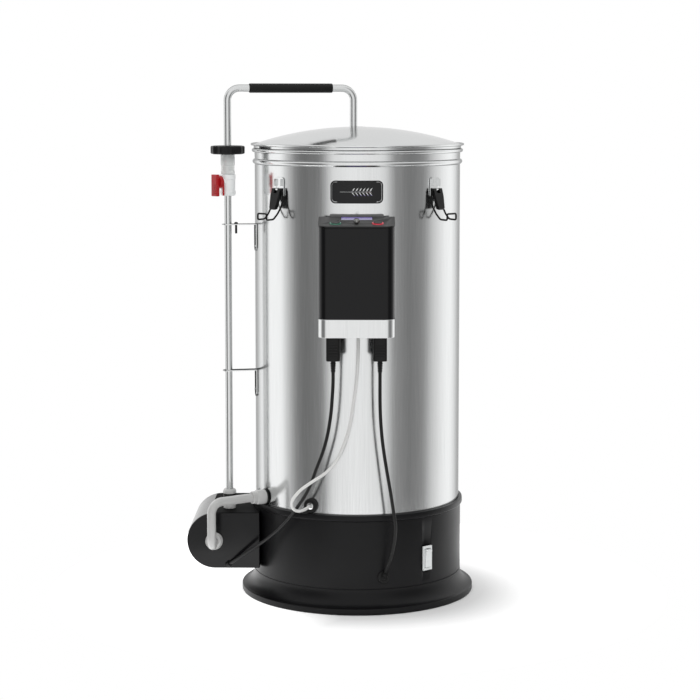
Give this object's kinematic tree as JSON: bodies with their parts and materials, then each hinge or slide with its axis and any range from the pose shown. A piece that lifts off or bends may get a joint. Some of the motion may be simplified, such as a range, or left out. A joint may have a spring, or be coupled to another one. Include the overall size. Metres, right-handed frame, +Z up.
{
  "type": "electric all in one brewer",
  "caption": "Electric all-in-one brewing boiler with a heater base, side pump, recirculation arm over a domed lid, and a control box with plug-in cords.",
  "frame": {"origin": "centre of the heater base on the surface it stands on", "axes": "+Z up along the boiler, -Y to the front with the control box, -X to the pump"},
  "size_m": [0.4314, 0.3945, 0.77],
  "materials": {
    "steel_polished": "polished stainless steel, faint vertical brushing",
    "steel_brushed": "brushed stainless steel",
    "satin_black": "satin black powder coat",
    "gloss_black": "gloss black moulding",
    "badge_dark": "dark anodised plate",
    "heater_metal": "cast, as made",
    "black_rubber": "soft matte",
    "white_plastic": "moulded, light gloss",
    "pump_plastic": "glass-filled moulding",
    "motor_metal": "painted",
    "pipe_grey": "matte light grey",
    "black_metal": "black coated wire and screw",
    "red_plastic": "moulded, gloss",
    "clear_plastic": "translucent, light gloss",
    "black_plastic": "matte moulding",
    "band_aluminium": "pale satin anodised",
    "cap_grey": "satin dark grey",
    "display": "lit violet display behind a clear window",
    "green_plastic": "lit ring button",
    "red_button": "lit ring button",
    "knob_metal": "polished",
    "cord_black": "matte flex",
    "cord_grey": "matte silicone flex"
  },
  "bodies": {
    "brewer": {"boiler_shell": "steel_polished", "badge_plate": "badge_dark", "base_ring": "satin_black", "base_housing": "satin_black", "base_cover": "satin_black", "heater_plate": "heater_metal", "heater_cord_grommet": "black_rubber", "switch_bezel": "white_plastic", "pump_housing": "gloss_black", "pump_head": "pump_plastic", "pump_motor": "motor_metal", "pump_cord_gland": "black_rubber", "inlet_coupling": "pipe_grey", "inlet_pipe": "pipe_grey", "inlet_fitting": "pipe_grey", "outlet_fitting": "pipe_grey", "discharge_pipe": "steel_brushed", "upper_bracket": "steel_brushed", "lower_bracket": "steel_brushed", "clip_screw": "black_metal", "valve_body": "white_plastic", "valve_adapter": "clear_plastic", "control_bracket": "black_plastic", "control_body": "gloss_black", "control_band": "band_aluminium", "control_cap": "cap_grey", "display_window": "display", "pump_plug": "black_plastic", "heater_plug": "black_plastic", "pump_cord": "cord_black", "heater_cord": "cord_black", "probe_cord": "cord_grey", "probe_grommet": "black_rubber", "latch_plate_front_left": "steel_polished", "latch_plate_front_right": "steel_polished", "latch_plate_rear_right": "steel_polished", "latch_plate_rear_left": "steel_polished"},
    "lid": {"lid": "steel_polished"},
    "arm": {"arm_tube": "steel_brushed", "arm_grip": "black_rubber"},
    "nut": {"arm_nut": "black_plastic"},
    "valve_handle": {"valve_lever": "red_plastic", "valve_ball": "steel_brushed"},
    "rocker": {"switch_rocker": "white_plastic"},
    "knob": {"menu_knob": "knob_metal"},
    "green_key": {"green_button": "green_plastic"},
    "red_key": {"red_button": "red_button"},
    "basket": {"grain_basket": "steel_brushed", "bottom_screen": "steel_brushed", "overflow_pipe": "steel_brushed"},
    "upper_screen": {"top_screen": "steel_brushed"},
    "impeller": {"pump_impeller": "pump_plastic"},
    "lever_front_left": {"latch_lever_front_left": "black_plastic"},
    "bail_front_left": {"latch_bail_front_left": "black_metal"},
    "lever_front_right": {"latch_lever_front_right": "black_plastic"},
    "bail_front_right": {"latch_bail_front_right": "black_metal"},
    "lever_rear_right": {"latch_lever_rear_right": "black_plastic"},
    "bail_rear_right": {"latch_bail_rear_right": "black_metal"},
    "lever_rear_left": {"latch_lever_rear_left": "black_plastic"},
    "bail_rear_left": {"latch_bail_rear_left": "black_metal"}
  },
  "joints": [
    {"name": "lid_lift", "type": "slide", "parent": "brewer", "child": "lid", "axis": [0, 0, 1], "range_m": [0, 0.038]},
    {"name": "arm_lift", "type": "slide", "parent": "brewer", "child": "arm", "axis": [0, 0, 1], "range_m": [0, 0.1]},
    {"name": "nut_turn", "type": "hinge", "parent": "brewer", "child": "nut", "pos_m": [-0.193, -0.042, 0.67], "axis": [0, 0, 1], "range_deg": [0, 360]},
    {"name": "valve_turn", "type": "hinge", "parent": "brewer", "child": "valve_handle", "pos_m": [-0.193, -0.042, 0.624], "axis": [-0.7071, -0.7071, 0], "range_deg": [0, 90]},
    {"name": "rocker_tilt", "type": "hinge", "parent": "brewer", "child": "rocker", "pos_m": [0.10302, -0.12019, 0.0725], "axis": [0.7593, 0.6508, 0], "range_deg": [-12, 0]},
    {"name": "knob_press", "type": "slide", "parent": "brewer", "child": "knob", "axis": [0, -0.1681, 0.9858], "range_m": [-0.0012, 0], "stiffness_N_per_m": 400},
    {"name": "green_press", "type": "slide", "parent": "brewer", "child": "green_key", "axis": [0, -0.1681, 0.9858], "range_m": [-0.0012, 0], "stiffness_N_per_m": 400},
    {"name": "red_press", "type": "slide", "parent": "brewer", "child": "red_key", "axis": [0, -0.1681, 0.9858], "range_m": [-0.0012, 0], "stiffness_N_per_m": 400},
    {"name": "latch_lever_front_left", "type": "hinge", "parent": "brewer", "child": "lever_front_left", "pos_m": [-0.11606, -0.11014, 0.6155], "axis": [-0.6884, 0.7254, 0], "range_deg": [0, 75]},
    {"name": "latch_bail_front_left", "type": "hinge", "parent": "lever_front_left", "child": "bail_front_left", "pos_m": [-0.11606, -0.11014, 0.613], "axis": [-0.6884, 0.7254, 0], "range_deg": [0, 50]},
    {"name": "latch_lever_front_right", "type": "hinge", "parent": "brewer", "child": "lever_front_right", "pos_m": [0.11606, -0.11014, 0.6155], "axis": [-0.6884, -0.7254, 0], "range_deg": [0, 75]},
    {"name": "latch_bail_front_right", "type": "hinge", "parent": "lever_front_right", "child": "bail_front_right", "pos_m": [0.11606, -0.11014, 0.613], "axis": [-0.6884, -0.7254, 0], "range_deg": [0, 50]},
    {"name": "latch_lever_rear_right", "type": "hinge", "parent": "brewer", "child": "lever_rear_right", "pos_m": [0.11606, 0.11014, 0.6155], "axis": [0.6884, -0.7254, 0], "range_deg": [0, 75]},
    {"name": "latch_bail_rear_right", "type": "hinge", "parent": "lever_rear_right", "child": "bail_rear_right", "pos_m": [0.11606, 0.11014, 0.613], "axis": [0.6884, -0.7254, 0], "range_deg": [0, 50]},
    {"name": "latch_lever_rear_left", "type": "hinge", "parent": "brewer", "child": "lever_rear_left", "pos_m": [-0.11606, 0.11014, 0.6155], "axis": [0.6884, 0.7254, 0], "range_deg": [0, 75]},
    {"name": "latch_bail_rear_left", "type": "hinge", "parent": "lever_rear_left", "child": "bail_rear_left", "pos_m": [-0.11606, 0.11014, 0.613], "axis": [0.6884, 0.7254, 0], "range_deg": [0, 50]},
    {"name": "basket_lift", "type": "slide", "parent": "brewer", "child": "basket", "axis": [0, 0, 1], "range_m": [0, 0.055]},
    {"name": "top_screen_slide", "type": "slide", "parent": "basket", "child": "upper_screen", "axis": [0, 0, 1], "range_m": [-0.12, 0]},
    {"name": "impeller_spin", "type": "hinge", "parent": "brewer", "child": "impeller", "pos_m": [-0.214, 0, 0.0875], "axis": [0, 1, 0], "continuous": true}
  ]
}
